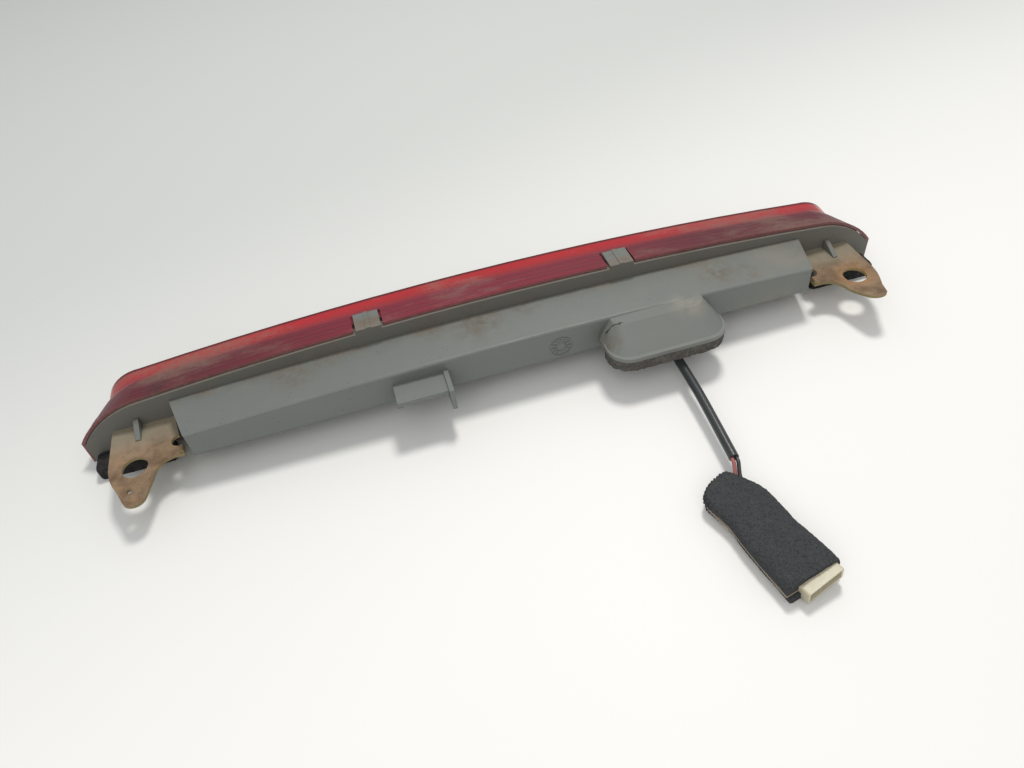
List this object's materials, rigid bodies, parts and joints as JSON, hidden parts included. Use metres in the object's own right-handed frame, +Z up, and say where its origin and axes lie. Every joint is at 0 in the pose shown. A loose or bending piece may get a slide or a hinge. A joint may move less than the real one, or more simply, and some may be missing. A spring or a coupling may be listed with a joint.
{
  "type": "third brake light",
  "caption": "High-level brake light: long red lens on a grey moulded housing, steel side brackets, and a short lead with a foam-wrapped connector.",
  "frame": {"origin": "middle of the footprint of the lamp without its lead, on the surface that it stands on", "axes": "+X along the lamp, +Y the way it lights, +Z up"},
  "size_m": [0.41, 0.1979, 0.04],
  "materials": {
    "housing_plastic": "moulded grey plastic with dust",
    "red_lens": "translucent red, dusty",
    "seal_foam": "soft closed-cell seal",
    "board": "white solder mask",
    "led_resin": "tinted clear resin",
    "chip_black": "moulded epoxy",
    "header_nylon": "natural nylon",
    "screw_steel": "zinc plated",
    "reflector_silver": "vacuum metallised",
    "gasket_foam": "dusty closed-cell foam",
    "grommet_rubber": "moulded rubber",
    "rusty_steel": "surface rust and dust",
    "pad_rubber": "cellular rubber",
    "sleeve_pvc": "soft PVC",
    "wire_red_pvc": "faded red PVC",
    "wire_black_pvc": "black PVC",
    "wrap_foam": "charcoal open-cell foam",
    "adhesive_tan": "aged adhesive film",
    "connector_ivory": "natural nylon",
    "terminal_tin": "tin plated"
  },
  "bodies": {
    "lamp": {"board_header": "header_nylon", "board_screws": "screw_steel", "bracket_left": "rusty_steel", "bracket_right": "rusty_steel", "cable_gasket": "gasket_foam", "cable_grommet": "grommet_rubber", "connector_body": "connector_ivory", "connector_terminals": "terminal_tin", "end_pad_left": "pad_rubber", "end_pad_right": "pad_rubber", "foam_wrap_lower": "wrap_foam", "foam_wrap_upper": "wrap_foam", "housing": "housing_plastic", "inner_wire_black": "wire_black_pvc", "inner_wire_red": "wire_red_pvc", "lead_sleeve": "sleeve_pvc", "led_board": "board", "leds": "led_resin", "lens_seal": "seal_foam", "protection_diode": "chip_black", "reflector": "reflector_silver", "resistors": "chip_black", "wire_black": "wire_black_pvc", "wire_red": "wire_red_pvc", "wrap_adhesive": "adhesive_tan"},
    "front_lens": {"lens": "red_lens"}
  },
  "joints": [
    {"name": "lens_release", "type": "slide", "parent": "lamp", "child": "front_lens", "axis": [0, 1, 0], "range_m": [0, 0.04]}
  ]
}
